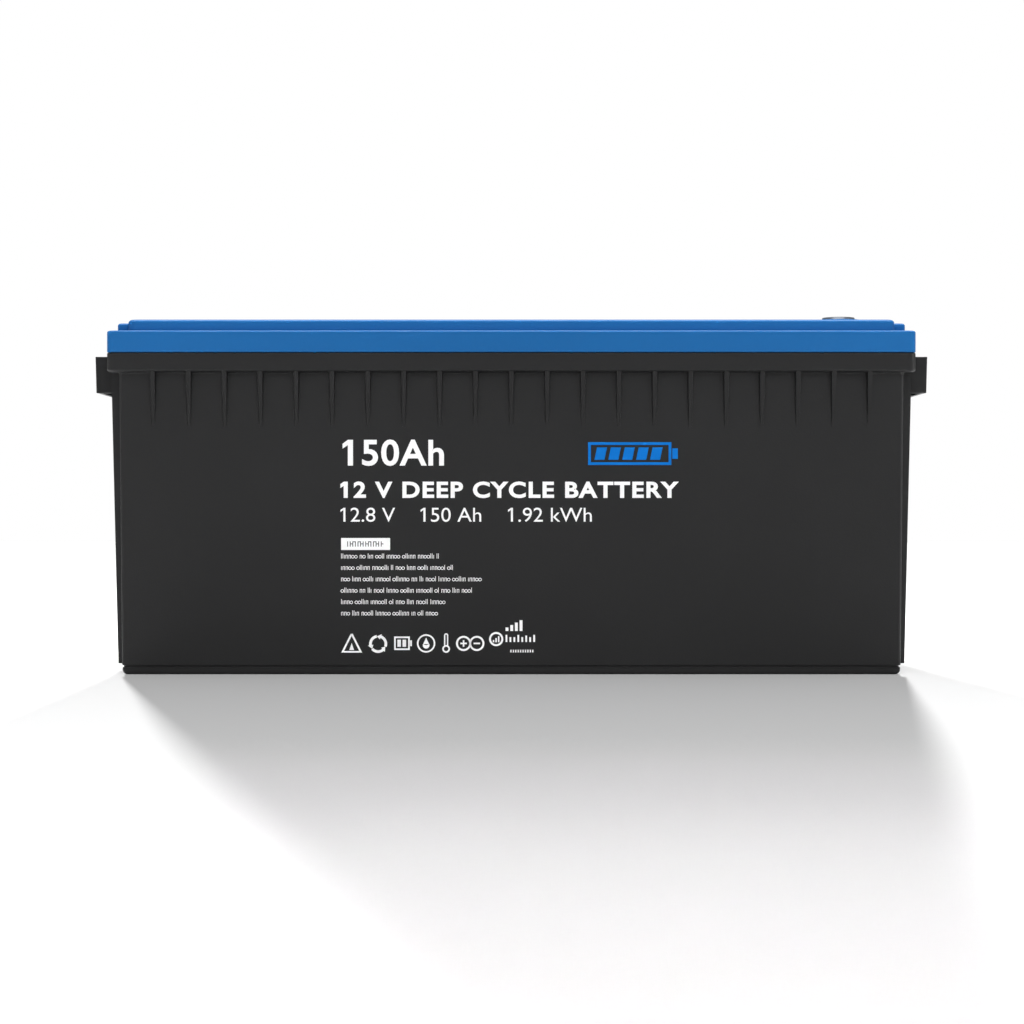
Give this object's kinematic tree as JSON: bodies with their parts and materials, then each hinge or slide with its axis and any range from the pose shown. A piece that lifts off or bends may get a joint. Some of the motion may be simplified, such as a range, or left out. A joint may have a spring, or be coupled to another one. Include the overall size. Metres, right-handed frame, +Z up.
{
  "type": "deep cycle battery",
  "caption": "Sealed deep cycle battery: long black ribbed case with end grips, blue stepped lid, round top terminals, cell stack and electronics inside.",
  "frame": {"origin": "centre of the bounding box at the bottom of the case's foot", "axes": "+X along the length, from the blank end of the lid towards the terminal end; +Z up; the printed front faces -Y"},
  "size_m": [0.5218, 0.24, 0.2235],
  "materials": {
    "balance_harness": "white insulated wire",
    "bms_board": "green circuit board",
    "bms_heatsink": "mill finish aluminium",
    "bms_mosfets": "black moulded transistors",
    "bms_screw_1": "plain zinc plated steel",
    "bms_screw_2": "plain zinc plated steel",
    "bms_screw_3": "plain zinc plated steel",
    "bms_screw_4": "plain zinc plated steel",
    "busbar_1": "bare copper",
    "busbar_2": "bare copper",
    "busbar_3": "bare copper",
    "cable_cell_negative": "black insulated copper lead",
    "cable_output_negative": "black insulated copper lead",
    "cable_positive": "red insulated copper lead",
    "case": "black moulded plastic, fine matt",
    "cell_1": "blue film over an aluminium can",
    "cell_2": "blue film over an aluminium can",
    "cell_3": "blue film over an aluminium can",
    "cell_4": "blue film over an aluminium can",
    "cell_nut_1": "plain zinc plated steel",
    "cell_nut_2": "plain zinc plated steel",
    "cell_nut_3": "plain zinc plated steel",
    "cell_nut_4": "plain zinc plated steel",
    "cell_nut_5": "plain zinc plated steel",
    "cell_nut_6": "plain zinc plated steel",
    "cell_nut_7": "plain zinc plated steel",
    "cell_nut_8": "plain zinc plated steel",
    "end_plate_left": "mill finish aluminium",
    "end_plate_right": "mill finish aluminium",
    "floor_pad": "dark closed cell foam",
    "foam_left": "dark closed cell foam",
    "foam_right": "dark closed cell foam",
    "lid": "blue moulded plastic, satin",
    "lid_gasket": "black elastomer",
    "lid_screw_1": "plain zinc plated steel",
    "lid_screw_2": "plain zinc plated steel",
    "lid_screw_3": "plain zinc plated steel",
    "lid_screw_4": "plain zinc plated steel",
    "lid_screw_5": "plain zinc plated steel",
    "lid_screw_6": "plain zinc plated steel",
    "lid_screw_7": "plain zinc plated steel",
    "lid_screw_8": "plain zinc plated steel",
    "separator_1": "insulating card",
    "separator_2": "insulating card",
    "separator_3": "insulating card",
    "strap_1": "plain zinc plated steel",
    "strap_2": "plain zinc plated steel",
    "terminal_nut_front": "plain zinc plated steel",
    "terminal_nut_rear": "plain zinc plated steel",
    "terminal_post_front": "bright turned metal",
    "terminal_post_rear": "bright turned metal",
    "terminal_seal_front": "black elastomer",
    "terminal_seal_rear": "black elastomer",
    "valve_body": "black moulded plastic",
    "valve_cap": "black moulded plastic",
    "valve_poppet": "black elastomer",
    "valve_spring": "plain zinc plated steel",
    "wireless_lead": "white insulated wire",
    "wireless_module": "green circuit board"
  },
  "bodies": {
    "housing": {"balance_harness": "balance_harness", "bms_board": "bms_board", "bms_heatsink": "bms_heatsink", "bms_mosfets": "bms_mosfets", "bms_screw_1": "bms_screw_1", "bms_screw_2": "bms_screw_2", "bms_screw_3": "bms_screw_3", "bms_screw_4": "bms_screw_4", "busbar_1": "busbar_1", "busbar_2": "busbar_2", "busbar_3": "busbar_3", "cable_cell_negative": "cable_cell_negative", "cable_output_negative": "cable_output_negative", "cable_positive": "cable_positive", "case": "case", "cell_1": "cell_1", "cell_2": "cell_2", "cell_3": "cell_3", "cell_4": "cell_4", "cell_nut_1": "cell_nut_1", "cell_nut_2": "cell_nut_2", "cell_nut_3": "cell_nut_3", "cell_nut_4": "cell_nut_4", "cell_nut_5": "cell_nut_5", "cell_nut_6": "cell_nut_6", "cell_nut_7": "cell_nut_7", "cell_nut_8": "cell_nut_8", "end_plate_left": "end_plate_left", "end_plate_right": "end_plate_right", "floor_pad": "floor_pad", "foam_left": "foam_left", "foam_right": "foam_right", "lid": "lid", "lid_gasket": "lid_gasket", "lid_screw_1": "lid_screw_1", "lid_screw_2": "lid_screw_2", "lid_screw_3": "lid_screw_3", "lid_screw_4": "lid_screw_4", "lid_screw_5": "lid_screw_5", "lid_screw_6": "lid_screw_6", "lid_screw_7": "lid_screw_7", "lid_screw_8": "lid_screw_8", "separator_1": "separator_1", "separator_2": "separator_2", "separator_3": "separator_3", "strap_1": "strap_1", "strap_2": "strap_2", "terminal_nut_front": "terminal_nut_front", "terminal_nut_rear": "terminal_nut_rear", "terminal_post_front": "terminal_post_front", "terminal_post_rear": "terminal_post_rear", "terminal_seal_front": "terminal_seal_front", "terminal_seal_rear": "terminal_seal_rear", "valve_body": "valve_body", "valve_cap": "valve_cap", "valve_spring": "valve_spring", "wireless_lead": "wireless_lead", "wireless_module": "wireless_module"},
    "poppet": {"valve_poppet": "valve_poppet"}
  },
  "joints": [
    {"name": "relief_valve_lift", "type": "slide", "parent": "housing", "child": "poppet", "axis": [0, 0, 1], "range_m": [0, 0.0015], "stiffness_N_per_m": 300, "springref_m": -0.0005, "deforming": ["valve_spring"]}
  ]
}
